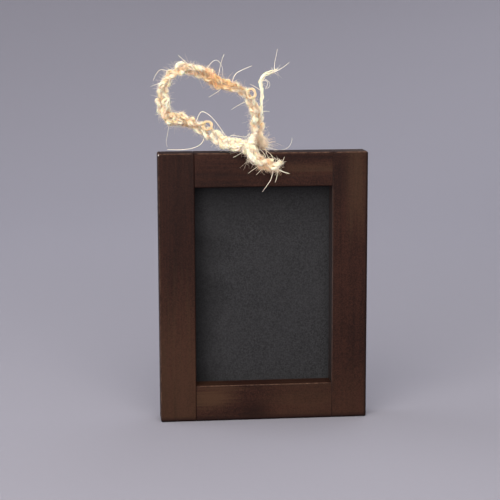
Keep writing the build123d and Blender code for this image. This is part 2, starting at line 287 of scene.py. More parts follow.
class BoardFinish(bpy.types.PropertyGroup):
    """Colours and sheen of the frame, the slate and what is behind it."""

    stain: FloatVectorProperty(
        name="Stain", description="Middle tone of the stained wood",
        subtype="COLOR", default=(0.032, 0.0117, 0.0078), min=0.0, max=1.0)
    # Dark grain colour, also laid as painted shade on arrises, undersides, the foot and the right outer
    # arris
    dark_stain_and_shade: FloatVectorProperty(
        name="Dark grain", description="Where the stain has soaked in deepest",
        subtype="COLOR", default=(0.0080, 0.0030, 0.0024), min=0.0, max=1.0)
    # Colour of the paler wood patches
    stain_pale: FloatVectorProperty(
        name="Pale figure", description="Harder figure that took less stain",
        subtype="COLOR", default=(0.060, 0.030, 0.016), min=0.0, max=1.0)
    # Wear colour, laid as painted highlight on arrises that face up and to the left
    worn_and_lit_arris: FloatVectorProperty(
        name="Worn arris", description="Wood showing through the stain on rubbed arrises",
        subtype="COLOR", default=(0.17, 0.095, 0.062), min=0.0, max=1.0)
    # Colour of the painted glint on the top-left front corner
    painted_glint: FloatVectorProperty(
        name="Chip", description="Bare wood and filler where the stain is chipped off",
        subtype="COLOR", default=(0.66, 0.62, 0.60), min=0.0, max=1.0)
    wood_roughness: FloatProperty(
        name="Wood roughness", description="Satin sheen of the finish",
        subtype="FACTOR", default=0.50, min=0.0, max=1.0)
    slate: FloatVectorProperty(
        name="Slate", description="Honed face of the slate",
        subtype="COLOR", default=(0.030, 0.0300, 0.0328), min=0.0, max=1.0)
    slate_dust: FloatVectorProperty(
        name="Chalk dust", description="Traces of chalk left in the slate's pores",
        subtype="COLOR", default=(0.060, 0.061, 0.066), min=0.0, max=1.0)
    card: FloatVectorProperty(
        name="Backing card", description="Grey pulp board behind the slate",
        subtype="COLOR", default=(0.26, 0.225, 0.18), min=0.0, max=1.0)
    dowel: FloatVectorProperty(
        name="Dowel wood", description="Bare beech of the dowels",
        subtype="COLOR", default=(0.52, 0.34, 0.19), min=0.0, max=1.0)


class TwineWork(bpy.types.PropertyGroup):
    """Sizes and colours of the chained twine."""

    yarn: FloatProperty(
        name="Yarn", description="Diameter of the yarn that the chain is worked from",
        unit="LENGTH", default=0.0026, min=0.0005, max=0.01)
    spread: FloatProperty(
        name="Spread", description="How far the legs of a stitch stand apart, as the unit of its shape",
        unit="LENGTH", default=0.0019, min=0.0005, max=0.01)
    reach: FloatProperty(
        name="Reach", description="Furthest that the chain's surface stands from its middle",
        unit="LENGTH", default=0.0058, min=0.001, max=0.02)
    pitch: FloatProperty(
        name="Stitch", description="Length of one chain stitch",
        unit="LENGTH", default=0.0064, min=0.002, max=0.03)
    ply_turn: FloatProperty(
        name="Ply turn", description="Length of one turn of the yarn's strands",
        unit="LENGTH", default=0.012, min=0.001, max=0.05)
    fuzz: IntProperty(
        name="Fuzz", description="Short fibres that stand out of a square centimetre of yarn",
        default=70, min=0, max=500)
    straw: FloatVectorProperty(
        name="Straw", description="Bleached outside of the hemp",
        subtype="COLOR", default=(0.97, 0.84, 0.62), min=0.0, max=1.0)
    # Also laid as painted shade in the chain's crevices and on the tail's underside
    tan: FloatVectorProperty(
        name="Tan", description="Darker hemp inside the stitches",
        subtype="COLOR", default=(0.75, 0.41, 0.185), min=0.0, max=1.0)
    fibre: FloatVectorProperty(
        name="Fibre", description="Single loose fibres",
        subtype="COLOR", default=(0.95, 0.85, 0.69), min=0.0, max=1.0)


class Studio(bpy.types.PropertyGroup):
    """Floor, lights and camera."""

    floor: FloatVectorProperty(
        name="Floor", description="Pale grey sweep that the board stands on",
        subtype="COLOR", default=(0.285, 0.276, 0.320), min=0.0, max=1.0)
    key_power: FloatProperty(
        name="Key light", description="Broad soft light from the front, left and above",
        unit="POWER", default=36.0, min=0.0)
    side_power: FloatProperty(
        name="Side light", description="Weaker, smaller light from the left",
        unit="POWER", default=2.5, min=0.0)
    top_power: FloatProperty(
        name="Top light", description="Broad light from above", unit="POWER", default=6.0, min=0.0)
    back_power: FloatProperty(
        name="Back light", description="Light on the sweep behind the board",
        unit="POWER", default=2.8, min=0.0)
    rear_power: FloatProperty(
        name="Rear light", description="Weak fill on the board's back and right",
        unit="POWER", default=5.5, min=0.0)
    left_power: FloatProperty(
        name="Left light", description="Weak fill on the floor and the board's left",
        unit="POWER", default=8.0, min=0.0)
    right_power: FloatProperty(
        name="Right light", description="Low fill on the board's right side",
        unit="POWER", default=5.0, min=0.0)
    distance: FloatProperty(
        name="Camera distance", description="From the camera to the point that it looks at",
        unit="LENGTH", default=0.95, min=0.1)
    azimuth: FloatProperty(
        name="Camera azimuth", description="How far the camera stands to the board's left",
        subtype="ANGLE", default=math.radians(5.85))
    elevation: FloatProperty(
        name="Camera elevation", description="How far the camera looks down",
        subtype="ANGLE", default=math.radians(8.95))
    roll: FloatProperty(
        name="Camera roll", description="How far the camera is turned about its own axis",
        subtype="ANGLE", default=math.radians(-0.175))
    lens: FloatProperty(
        name="Lens", description="Focal length in millimetres", default=105.66, min=10.0)


class Finish:
    """A node material while it is put together."""

    def __init__(self, name, **constants):
        """Start a material with the values that are the same all over it."""
        self.material = bpy.data.materials.new(name)
        self.material.use_nodes = True
        self.tree = self.material.node_tree
        self.shader = self.tree.nodes["Principled BSDF"]
        for label, value in constants.items():
            self.shader.inputs[label.replace("_", " ")].default_value = value

    def feed(self, socket, value):
        """Link a socket from another one, or set it to a value."""
        if isinstance(value, bpy.types.NodeSocket):
            self.tree.links.new(value, socket)
        else:
            socket.default_value = value

    def node(self, kind, inputs, **settings):
        """Add a node and feed its inputs."""
        made = self.tree.nodes.new(kind)
        for label, value in settings.items():
            setattr(made, label, value)
        for label, value in inputs.items():
            self.feed(made.inputs[label], value)
        return made

    def place(self, scale=(1.0, 1.0, 1.0), shift=(0.0, 0.0, 0.0)):
        """Object coordinates, stretched and then shifted on each axis."""
        where = self.node("ShaderNodeTexCoord", {}).outputs["Object"]
        inputs = {"Vector": where, "Scale": scale, "Location": shift}
        return self.node("ShaderNodeMapping", inputs).outputs["Vector"]

    def axes(self, vector):
        """The three parts of a vector."""
        return tuple(self.node("ShaderNodeSeparateXYZ", {"Vector": vector}).outputs)

    def kept(self, name, part="Fac"):
        """What a piece keeps under a name at each of its points."""
        return self.node("ShaderNodeAttribute", {}, attribute_name=name).outputs[part]

    def noise(self, place, scale, detail=4.0, roughness=0.55, distortion=0.0):
        """Noise from 0 to 1 at a place."""
        inputs = {"Vector": place, "Scale": scale, "Detail": detail, "Roughness": roughness,
                  "Distortion": distortion}
        return self.node("ShaderNodeTexNoise", inputs).outputs["Fac"]

    def spread(self, value, low, high, to_low=0.0, to_high=1.0):
        """Map a range of values onto another, clamped."""
        inputs = {"Value": value, "From Min": low, "From Max": high, "To Min": to_low, "To Max": to_high}
        return self.node("ShaderNodeMapRange", inputs).outputs["Result"]

    def work(self, kind, first, second=0.0):
        """One step of arithmetic."""
        return self.node("ShaderNodeMath", {0: first, 1: second}, operation=kind).outputs["Value"]

    def times(self, first, second):
        """The product of two values."""
        return self.work("MULTIPLY", first, second)

    def plus(self, *values):
        """The sum of values."""
        return reduce(lambda total, value: self.work("ADD", total, value), values)

    def minus(self, first, second):
        """The difference of two values."""
        return self.work("SUBTRACT", first, second)

    def sway(self, value, middle, strength):
        """How far a value is off its middle, times a strength."""
        return self.times(self.minus(value, middle), strength)

    def mix(self, share, first, second):
        """Blend two colours by a share."""
        made = self.node("ShaderNodeMix", {MIX_SHARE: share}, data_type="RGBA")
        for place, colour in ((MIX_FIRST, first), (MIX_SECOND, second)):
            linked = isinstance(colour, bpy.types.NodeSocket)
            self.feed(made.inputs[place], colour if linked else (*colour, 1.0))
        return made.outputs[MIX_RESULT]

    def near(self, place, size, ragged):
        """1 at a place, down to 0 at about a size from it on each axis, with a ragged edge."""
        scale = tuple(1.0 / side for side in size)
        shift = tuple(-middle / side for middle, side in zip(place, size))
        away = self.node("ShaderNodeVectorMath", {"Vector": self.place(scale, shift)}, operation="LENGTH")
        return self.spread(self.plus(away.outputs["Value"], ragged), 1.1, 0.3)

    def surface(self, **sockets):
        """Feed the shader's inputs that change over the surface."""
        for label, socket in sockets.items():
            self.feed(self.shader.inputs[label.replace("_", " ")], socket)

    def bump(self, height, strength, distance):
        """Fine relief from a height."""
        inputs = {"Height": height, "Strength": strength, "Distance": distance}
        self.surface(Normal=self.node("ShaderNodeBump", inputs).outputs["Normal"])


def shade(colour, share):
    """A colour at a share of its brightness."""
    return tuple(share * part for part in colour)


def arris_shares(finish):
    """How far an arris faces up and to the left and takes painted highlight, and how far it, or the
    underside, takes painted shade.
    """
    normal = finish.node("ShaderNodeNewGeometry", {}).outputs["Normal"]
    sizes = finish.node("ShaderNodeVectorMath", {"Vector": normal}, operation="ABSOLUTE").outputs["Vector"]
    largest = reduce(lambda first, second: finish.work("MAXIMUM", first, second), finish.axes(sizes))
    right, _, up = finish.axes(normal)
    # Arrises that rise toward the upper left take painted highlight; the others and the undersides take
    # painted shade
    rising = finish.minus(up, finish.times(right, 0.5))
    arris = finish.spread(largest, 0.985, 0.80)
    lit_arris = finish.times(arris, finish.spread(rising, -0.1, 0.7))
    under = finish.spread(up, -0.10, -0.45)
    return lit_arris, finish.work("MAXIMUM", under, finish.minus(arris, lit_arris))


def joint_share(finish):
    """1 on the flush joints between the rails and the stiles, 0 elsewhere."""
    low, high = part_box("bottom_rail")[1].z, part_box("top_rail")[0].z
    across, _, height = finish.axes(finish.place())
    aside = finish.work("ABSOLUTE", finish.minus(finish.work("ABSOLUTE", across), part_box("top_rail")[1].x))
    away = finish.work("ABSOLUTE", finish.minus(height, 0.5 * (low + high)))
    return finish.times(finish.work("LESS_THAN", aside, JOINT_HALF_WIDTH),
                        finish.work("GREATER_THAN", away, 0.5 * (high - low)))


def stained_wood(node, along, board):
    """Dark stained wood with its grain along an axis, with wear on the arrises laid as painted highlight
    where they face up and to the left, painted shade on the other arrises and undersides, and marks on the
    stain.
    """
    finish = Finish("stained_" + node, Specular_IOR_Level=0.08)
    slow, fast = ([stretch if axis == along else 1.0 for axis in range(3)] for stretch in (0.10, 0.03))
    even = finish.place()
    figure = finish.noise(finish.place(slow), 95.0, 3.0, 0.5, 0.6)
    streaks = finish.noise(finish.place(fast), 700.0, 5.0, 0.7)
    patches = finish.noise(even, 26.0, 3.0)
    fleck = finish.noise(even, 1500.0, 2.0, 0.6)
    grain = finish.plus(finish.times(figure, 0.35), finish.times(streaks, 0.35),
                        finish.times(patches, 0.20), finish.times(fleck, 0.80))
    stain = finish.mix(finish.spread(grain, 0.69, 0.99), board.dark_stain_and_shade, board.stain)
    ragged = finish.sway(streaks, 0.5, 2.2)
    for across, up, width, height, amount in WOOD_PATCHES[node]:
        patch = finish.near((across, 0.0, up), (width, 1.0, height), ragged)
        tone = board.stain_pale if amount > 0.0 else board.dark_stain_and_shade
        stain = finish.mix(finish.times(patch, abs(amount)), stain, tone)
    lit_arris, shaded = arris_shares(finish)
    # Painted shade: arrises that face right or down, and undersides, darkened toward the dark stain
    stain = finish.mix(finish.times(shaded, 0.90), stain, board.dark_stain_and_shade)
    # Wear on the arrises, laid most where they face up and to the left, as painted highlight
    wear = finish.noise(even, 340.0, 4.0, 0.7)
    worn_and_lit = finish.times(lit_arris, finish.spread(wear, 0.38, 0.68))
    worn_and_lit = finish.times(worn_and_lit, finish.minus(1.0, joint_share(finish)))
    stain = finish.mix(finish.times(worn_and_lit, 0.78), stain, board.worn_and_lit_arris)
    for tone, share, place, size in MARKS.get(node, []):
        mark = finish.times(finish.near(place, size, 0.0), share)
        stain = finish.mix(mark, stain, getattr(board, tone))
    rough = finish.spread(streaks, 0.3, 0.7, board.wood_roughness - 0.08, board.wood_roughness + 0.16)
    finish.surface(Base_Color=stain, Roughness=rough)
    finish.bump(finish.spread(streaks, 0.30, 0.52), 0.35, 0.00012)
    return finish.material


def honed_slate(board):
    """Matt grey slate, finely mottled, with chalk dust in its pores, and painted shade darkening it under
    the top rail and beside the left stile.
    """
    finish = Finish("honed_slate", Specular_IOR_Level=0.05)
    even = finish.place()
    cloud = finish.noise(even, 34.0, 4.0, 0.6, 0.4)
    speck = finish.noise(even, 1900.0, 3.0, 0.7)
    mottle = finish.noise(even, 1050.0, 3.0, 0.65)
    rubbed = finish.noise(finish.place((1.0, 1.0, 0.35)), 120.0, 5.0, 0.65, 0.8)
    across, _, height = finish.axes(even)
    uneven = finish.sway(cloud, 0.5, 0.03)
    below = finish.spread(finish.plus(height, uneven), *SHADE_UNDER_RAIL, 0.60, 0.0)
    beside = finish.spread(finish.plus(across, uneven), *SHADE_BESIDE_STILE, 0.70, 0.0)
    stone = finish.mix(finish.spread(mottle, 0.36, 0.64), shade(board.slate, 0.45), board.slate)
    stone = finish.mix(finish.spread(cloud, 0.35, 0.70, 0.0, 0.35), stone, board.slate)
    dust = finish.times(finish.spread(speck, 0.50, 0.78), finish.spread(rubbed, 0.35, 0.75))
    stone = finish.mix(finish.times(dust, 0.50), stone, board.slate_dust)
    # Painted shade: the slate darkened under the top rail and beside the left stile
    stone = finish.mix(finish.work("MAXIMUM", below, beside), stone, shade(board.slate, 0.25))
    finish.surface(Base_Color=stone, Roughness=finish.spread(rubbed, 0.3, 0.7, 0.62, 0.80))
    finish.bump(speck, 0.25, 0.00008)
    return finish.material


def pulp_card(board):
    """Grey backing card with flecks."""
    finish = Finish("pulp_card", Roughness=0.9)
    pulp = finish.noise(finish.place(), 900.0, 5.0, 0.7)
    fleck = finish.noise(finish.place((1.0, 1.0, 0.3)), 700.0, 2.0)
    pale = finish.mix(finish.spread(pulp, 0.3, 0.7), shade(board.card, 0.8), board.card)
    finish.surface(Base_Color=finish.mix(finish.spread(fleck, 0.66, 0.72, 0.0, 0.6), pale, CARD_FLECK))
    finish.bump(pulp, 0.4, 0.0001)
    return finish.material


def zinc_steel():
    """Pressed steel with a dull zinc skin."""
    finish = Finish("zinc_steel", Metallic=1.0)
    spangle = finish.noise(finish.place(), 700.0, 3.0, 0.6, 1.0)
    finish.surface(Base_Color=finish.mix(spangle, ZINC_DARK, ZINC_PALE),
                   Roughness=finish.spread(spangle, 0.3, 0.7, 0.28, 0.5))
    finish.bump(spangle, 0.15, 0.00005)
    return finish.material


def bare_beech(board):
    """Pale dowel wood with short dark flecks."""
    finish = Finish("bare_beech", Roughness=0.6)
    fibres = finish.noise(finish.place((0.05, 1.0, 1.0)), 800.0, 4.0)
    flecks = finish.noise(finish.place((0.15, 1.0, 1.0)), 1300.0, 2.0)
    wood = finish.mix(finish.spread(fibres, 0.3, 0.7), board.dowel, shade(board.dowel, 1.2))
    finish.surface(Base_Color=finish.mix(finish.spread(flecks, 0.62, 0.70, 0.0, 0.5), wood, BEECH_FLECK))
    finish.bump(fibres, 0.3, 0.0001)
    return finish.material


def hemp(name, twine):
    """Hemp yarn: straw outside, tan in the crevices as painted shade, with a streak for each fibre."""
    finish = Finish(name, Roughness=0.85, Subsurface_Weight=0.45, Subsurface_Scale=0.0014,
                    Subsurface_Radius=(1.0, 0.42, 0.2), Sheen_Weight=0.25,
                    Sheen_Roughness=0.5, Specular_IOR_Level=0.25)
    streak = finish.noise(finish.kept("lay", "Vector"), 1.0, 4.0, 0.65)
    batch = finish.noise(finish.place(), 75.0, 2.0)
    pale = finish.plus(finish.kept("depth"), finish.sway(streak, 0.5, 0.7), finish.sway(batch, 0.5, 0.5),
                       finish.sway(finish.kept("pale"), 0.6, 0.7))
    finish.surface(Base_Color=finish.mix(finish.spread(pale, 0.16, 0.86), twine.tan, twine.straw))
    finish.bump(streak, 0.7, 0.0004)
    return finish.material


def loose_fibre(twine):
    """Single fibres: pale, a little translucent, uneven in tone."""
    finish = Finish("loose_fibre", Roughness=0.7, Subsurface_Weight=0.1, Subsurface_Scale=0.001,
                    Specular_IOR_Level=0.3)
    tone = finish.noise(finish.place(), 160.0, 2.0)
    pale = finish.plus(finish.kept("pale"), finish.sway(tone, 0.5, 0.8))
    finish.surface(Base_Color=finish.mix(finish.spread(pale, 0.0, 0.8), twine.tan, twine.fibre))
    return finish.material


def finish_nodes(material, *names):
    """Give CAD nodes a material in place of their own."""
    for name in names:
        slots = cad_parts[name].data.materials
        slots.clear()
        slots.append(material)


def unit(vectors):
    """The same directions at a length of one."""
    return vectors / np.linalg.norm(vectors, axis=-1, keepdims=True)


def spline_points(points, steps):
    """Points along the NURBS spline that has these control points, a number of steps for each."""
    curve = bpy.data.curves.new("line", "CURVE")
    curve.dimensions = "3D"
    spline = curve.splines.new("NURBS")
    spline.points.add(len(points) - 1)
    for control, point in zip(spline.points, points):
        control.co = (*point, 1.0)
    spline.order_u = 3
    spline.use_endpoint_u = True
    spline.resolution_u = steps
    holder = bpy.data.objects.new("line", curve)
    mesh = bpy.data.meshes.new_from_object(holder)
    flat = np.empty(3 * len(mesh.vertices))
    mesh.vertices.foreach_get("co", flat)
    bpy.data.objects.remove(holder)
    bpy.data.curves.remove(curve)
    bpy.data.meshes.remove(mesh)
    return flat.reshape(-1, 3)


class Strand:
    """A line of points, the distance along it, and two crosswise directions that are carried along it."""

    def __init__(self, points):
        """Measure the line and carry its crosswise directions from its first point to its last."""
        self.points = np.asarray(points, float)
        steps = np.linalg.norm(np.diff(self.points, axis=0), axis=1)
        self.along = np.concatenate(([0.0], np.cumsum(steps)))
        self.length = self.along[-1]
        self.share = self.along / self.length
        self.ahead = unit(np.gradient(self.points, self.along, axis=0))
        self.side = self.carried_side()
        self.out = np.cross(self.ahead, self.side)

    def carried_side(self):
        """One crosswise direction at each point, turned no more than the line itself turns."""
        least = np.eye(3)[np.argmin(np.abs(self.ahead[0]))]
        sides = [unit(np.cross(self.ahead[0], least))]
        for ahead in self.ahead[1:]:
            sides.append(unit(sides[-1] - ahead * (sides[-1] @ ahead)))
        return np.array(sides)

    def turn(self, angle):
        """Turn the crosswise directions about the line by an angle."""
        side = math.cos(angle) * self.side + math.sin(angle) * self.out
        self.out = math.cos(angle) * self.out - math.sin(angle) * self.side
        self.side = side

    def read(self, values, distance):
        """Values at the strand's points, read at distances along it."""
        return np.stack([np.interp(distance, self.along, values[:, axis]) for axis in range(3)], axis=-1)

    def at(self, distance, across, out):
        """Points at distances along the strand, moved crosswise."""
        return (self.read(self.points, distance) + across[:, None] * unit(self.read(self.side, distance))
                + out[:, None] * unit(self.read(self.out, distance)))


def shifted(faces, first):
    """Faces whose points start at another number."""
    return [tuple(first + index for index in face) for face in faces]


def ring_faces(rings, sides):
    """Quads of a closed tube of rings, and a cap on each end."""
    faces = []
    for ring in range(rings - 1):
        for corner in range(sides):
            beside = (corner + 1) % sides
            faces.append((ring * sides + corner, ring * sides + beside,
                          (ring + 1) * sides + beside, (ring + 1) * sides + corner))
    faces.append(tuple(reversed(range(sides))))
    faces.append(tuple(range((rings - 1) * sides, rings * sides)))
    return faces


def add_object(name, data):
    """An object that holds some data, put in the scene."""
    made = bpy.data.objects.new(name, data)
    bpy.context.scene.collection.objects.link(made)
    return made


def smooth_mesh(name, points, faces, material):
    """A smooth mesh object of one material."""
    mesh = bpy.data.meshes.new(name)
    mesh.from_pydata(np.asarray(points).tolist(), [], faces)
    mesh.polygons.foreach_set("use_smooth", [True] * len(mesh.polygons))
    mesh.materials.append(material)
    return add_object(name, mesh)


def keep(piece, name, values):
    """Keep a value at each point of a piece for its finish."""
    values = np.broadcast_to(values, len(piece.data.vertices))
    piece.data.attributes.new(name, "FLOAT", "POINT").data.foreach_set("value", values)


def swing(piece):
    """Bake a piece's transform into its mesh."""
    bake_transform(piece)


def yarn_piece(name, roved, material, depth, pale):
    """A piece of roved yarn that keeps its lay, its depth in the chain and its paleness for its finish."""
    points, faces, lay = roved
    piece = smooth_mesh(name, points, faces, material)
    piece.data.attributes.new("lay", "FLOAT_VECTOR", "POINT").data.foreach_set("vector", lay.ravel())
    keep(piece, "depth", depth)
    keep(piece, "pale", pale)
    swing(piece)
    return piece


def fibre_piece(name, lines, radius, pale, material):
    """A piece of many thin three-sided fibres, one along each line, tapered to the tip."""
    count, steps = lines.shape[:2]
    ahead = unit(np.gradient(lines, axis=1))
    least = np.eye(3)[np.argmin(np.abs(ahead[:, 0]), axis=1)]
    side = unit(np.cross(ahead, least[:, None]))[:, :, None]
    out = np.cross(ahead, side[:, :, 0])[:, :, None]
    corner = 2.0 * math.pi * np.arange(3)[:, None] / 3
    taper = np.linspace(1.0, FIBRE_TIP, steps)[None, :, None, None] * np.reshape(radius, (-1, 1, 1, 1))
    points = lines[:, :, None] + taper * (np.cos(corner) * side + np.sin(corner) * out)
    single = ring_faces(steps, 3)
    faces = [face for first in range(0, count * steps * 3, steps * 3) for face in shifted(single, first)]
    piece = smooth_mesh(name, points.reshape(-1, 3), faces, material)
    keep(piece, "pale", np.repeat(np.broadcast_to(pale, count), 3 * steps))
    swing(piece)


def drift(draw, along, middle, reach, length):
    """A value that drifts smoothly about a middle, by about a reach to either side over a length."""
    rate = 2.0 * math.pi * draw.uniform(0.6, 1.5, (3, 1)) / length
    phase = draw.uniform(0.0, 2.0 * math.pi, (3, 1))
    return middle + reach * np.sin(rate * along + phase).sum(axis=0) / 2.0


def roving(yarn, diameter, turn, strands, seed, fray=1.0):
    """Points, faces and lay of a yarn's loosely twisted strands, spread apart where they fray."""
    draw = np.random.default_rng(seed)
    rings = len(yarn.points)
    corner = 2.0 * math.pi * np.arange(STRAND_SIDES) / STRAND_SIDES
    fibre = np.broadcast_to(LAY_ROUND * corner, (rings, STRAND_SIDES))
    run = np.broadcast_to(LAY_ALONG * yarn.along[:, None], fibre.shape)
    single = ring_faces(rings, STRAND_SIDES)
    points, faces, lay = [], [], []
    for strand in range(strands):
        twist = drift(draw, yarn.along, *STRAND_TWIST)
        turned = 2.0 * math.pi * (yarn.along / turn + strand / strands) + twist
        aside = fray * diameter * drift(draw, yarn.along, *STRAND_ASIDE)
        thick = diameter / fray * drift(draw, yarn.along, *STRAND_RADIUS)
        centre = yarn.points + aside[:, None] * (
            np.cos(turned)[:, None] * yarn.side + np.sin(turned)[:, None] * yarn.out)
        angle = turned[:, None] + corner[None, :]
        spoke = (np.cos(angle)[..., None] * yarn.side[:, None]
                 + np.sin(angle)[..., None] * yarn.out[:, None])
        points.append((centre[:, None] + thick[:, None, None] * spoke).reshape(-1, 3))
        faces += shifted(single, rings * STRAND_SIDES * strand)
        across = LAY_RADIUS * np.cos(fibre) + LAY_APART * strand
        lay.append(np.stack((across, LAY_RADIUS * np.sin(fibre), run), axis=-1).reshape(-1, 3))
    return np.concatenate(points), faces, np.concatenate(lay)


def openness(points, yarn, diameter, window=240, step=3):
    """How clear a roving's points stand of the yarn's other stretches: 0 in a crevice, 1 in the open."""
    rings = points.reshape(-1, len(yarn.points), STRAND_SIDES, 3)
    clear = np.ones(rings.shape[:3])
    for ring, thick in enumerate(diameter):
        near = slice(max(0, ring - window), ring + window, step)
        apart = np.abs(yarn.along[near] - yarn.along[ring]) > OWN_STRETCH * thick
        others = yarn.points[near][apart]
        if len(others):
            gap = np.linalg.norm(rings[:, ring, :, None] - others, axis=-1).min(axis=-1)
            clear[:, ring] = np.clip(gap / thick - CREVICE_GAP, 0.0, 1.0)
    return clear.ravel()


@lru_cache
def twine_line():
    """The twine's centreline, with its out direction toward the viewer round the loop."""
    line = Strand(spline_points(TWINE_ROUTE, 16))
    middle = len(line.points) // 2
    toward = np.array((0.0, -1.0, 0.0))
    line.turn(math.atan2(-(toward @ line.side[middle]), toward @ line.out[middle]))
    return line


@lru_cache
def twine_tree():
    """The points of the twine's centreline, sorted by place."""
    line = twine_line().points
    tree = KDTree(len(line))
    for index, point in enumerate(line):
        tree.insert(point, index)
    tree.balance()
    return tree


def near_twine(points):
    """Distance to the twine's centreline, and the share of its length at the nearest place."""
    found = [twine_tree().find(point) for point in points]
    nearest = np.array([hit[1] for hit in found])
    return np.array([hit[2] for hit in found]), twine_line().share[nearest]


def work_at(share):
    """Size of the stitches, thickness of the yarn and paleness at shares of the twine's length."""
    shares, *columns = np.transpose(CHAIN_WORK)
    return [np.interp(share, shares, column) for column in columns]


@lru_cache
def chain_yarn():
    """The yarn's own line, one loop pulled through another all along the twine, and its diameter."""
    twine = bpy.context.scene.twine_work
    line = twine_line()
    draw = np.random.default_rng(12)
    stitch = np.array(STITCH)
    reach = stitch[:, 0].max() - 1.0
    count = round(line.length / twine.pitch - reach)
    pitch = line.length / (count + reach)
    along, across, out = [], [], []
    roll = 0.0
    for number in range(count):
        roll = ROLL_KEPT * roll + draw.normal(0.0, ROLL_TAKEN)
        size = work_at((number + STITCH_MIDDLE) * pitch / line.length)[0]
        full = size * draw.uniform(*STITCH_SIZES) * twine.spread
        uneven = draw.normal(0.0, POINT_DRIFT, (len(stitch), 3))
        aside = draw.uniform(-STITCH_ASIDE, STITCH_ASIDE, 2)
        sideways = full * (stitch[:, 1] + uneven[:, 1] + aside[0])
        forward = full * (stitch[:, 2] + uneven[:, 2] + aside[1])
        along.append((number + stitch[:, 0] + 0.5 * uneven[:, 0]) * pitch)
        across.append(math.cos(roll) * sideways - math.sin(roll) * forward)
        out.append(math.sin(roll) * sideways + math.cos(roll) * forward)
    along, across, out = (np.concatenate(values) for values in (along, across, out))
    thick = twine.yarn * np.tile(stitch[:, 3], count) * work_at(along / line.length)[1]
    within = np.minimum(1.0, (twine.reach - YARN_SINK * thick) / np.hypot(across, out))
    yarn = Strand(spline_points(line.at(along, within * across, within * out), 7))
    nearest = np.linspace(0.5, len(along) - 1.5, len(yarn.points))
    slubs = drift(draw, yarn.along, *YARN_SLUBS)
    return yarn, slubs * np.interp(nearest, np.arange(len(along)), thick)


@lru_cache
def tie_yarns():
    """The tying strand's line and diameter."""
    line = Strand(spline_points(TIE_ROUTE, 14))
    slubs = 1.0 + SLUB * np.sin(line.along / TIE_SLUB_RUN)
    return line, np.interp(line.share, *TIE_SWELL) * bpy.context.scene.twine_work.yarn * slubs


@lru_cache
def tail_yarns():
    """The line and diameter of the yarn ends in the tail."""
    line = Strand(spline_points(TAIL_ROUTE, 14))
    return line, TAIL_DIAMETER * np.interp(line.share, *TAIL_SWELL)


def loose_loop(middle, half_width, half_height, first, turns=1.15, steps=12):
    """The line of an open loop of yarn, whose two ends go back into the chain behind it."""
    points = []
    for step in range(steps + 1):
        share = step / steps
        angle = first + 2.0 * math.pi * turns * share
        sunk = LOOP_SUNK * (2.0 * share - 1.0) ** 4
        points.append((middle[0] + half_width * math.cos(angle), middle[1] + sunk,
                       middle[2] + half_height * math.sin(angle)))
    return Strand(spline_points(points, 8))


def outside_board(lines):
    """Which fibres stay clear of the wood."""
    inside = ((lines[..., 2] < BOARD_TOP + WOOD_CLEARANCE) & (lines[..., 1] > BOARD_FRONT - WOOD_CLEARANCE)
              & (lines[..., 1] < BOARD_BACK + WOOD_CLEARANCE))
    return ~inside.any(axis=1)


def bent_lines(root, heading, curl, length, steps):
    """Lines from roots along headings, which curl away toward their tips."""
    share = np.linspace(0.0, 1.0, steps)[None, :, None]
    return root[:, None] + (heading * length)[:, None] * share + (curl * length)[:, None] * share**2


def fuzz_lines(strand, diameter, count, seed):
    """Short bent fibres that leave a strand at a shallow angle, either way along it."""
    draw = np.random.default_rng(seed)
    start = draw.uniform(0.0, strand.length, count)
    angle = draw.uniform(0.0, 2.0 * math.pi, count)
    radial = unit(np.cos(angle)[:, None] * strand.read(strand.side, start)
                  + np.sin(angle)[:, None] * strand.read(strand.out, start))
    ahead = unit(strand.read(strand.ahead, start)) * draw.choice((-1.0, 1.0), count)[:, None]
    heading = unit(radial + draw.uniform(*FUZZ_LEAN, count)[:, None] * ahead)
    curl = draw.normal(0.0, FUZZ_CURL, (count, 3))
    thick = np.interp(start, strand.along, diameter)[:, None]
    length = np.minimum(FUZZ_LENGTH * draw.gamma(2.2, 0.45, count)[:, None], FUZZ_LONGEST)
    root = strand.read(strand.points, start) + FUZZ_ROOT * thick * radial
    return bent_lines(root, heading, curl, length, steps=5)


def loose_hair(strand, diameter, count, seed, steps=7):
    """Fibres that lie along a strand and arch out of it, rooted at both ends."""
    draw = np.random.default_rng(seed)
    start = draw.uniform(0.0, strand.length, (count, 1))
    share = np.linspace(0.0, 1.0, steps)[None, :]
    distance = start + draw.uniform(*HAIR_RUN, (count, 1)) * share
    angle = draw.uniform(0.0, 2.0 * math.pi, (count, 1)) + draw.normal(0.0, HAIR_TURN, (count, 1)) * share
    lift = draw.uniform(*HAIR_LIFT, (count, 1)) * np.sin(math.pi * share)
    reach = np.interp(distance, strand.along, diameter) * (HAIR_ROOT + lift)
    lines = strand.at(distance.ravel(), (reach * np.cos(angle)).ravel(), (reach * np.sin(angle)).ravel())
    return lines.reshape(count, steps, 3)


def brush(draw, first, last, heading, count, length):
    """Frayed fibres rooted between two points, all heading about one way."""
    share = draw.uniform(0.0, 1.0, (count, 1))
    root = (1.0 - share) * np.array(first) + share * np.array(last)
    root += draw.normal(0.0, BRUSH_ROOT, (count, 3))
    way = unit(np.array(heading) + draw.normal(0.0, BRUSH_FAN, (count, 3)))
    curl = draw.normal(0.0, BRUSH_CURL, (count, 3))
    return bent_lines(root, way, curl, length * draw.uniform(*BRUSH_LENGTHS, (count, 1)), steps=7)


class SLATEBOARD_OT_stain_frame(bpy.types.Operator):
    """Stain the stiles and rails, with the grain along each piece"""

    bl_idname = "slateboard.stain_frame"
    bl_label = "Stain Frame"

    def execute(self, context):
        for node in WOOD_PATCHES:
            along = 2 if node.endswith("stile") else 0
            finish_nodes(stained_wood(node, along, context.scene.board_finish), node)
        return {"FINISHED"}


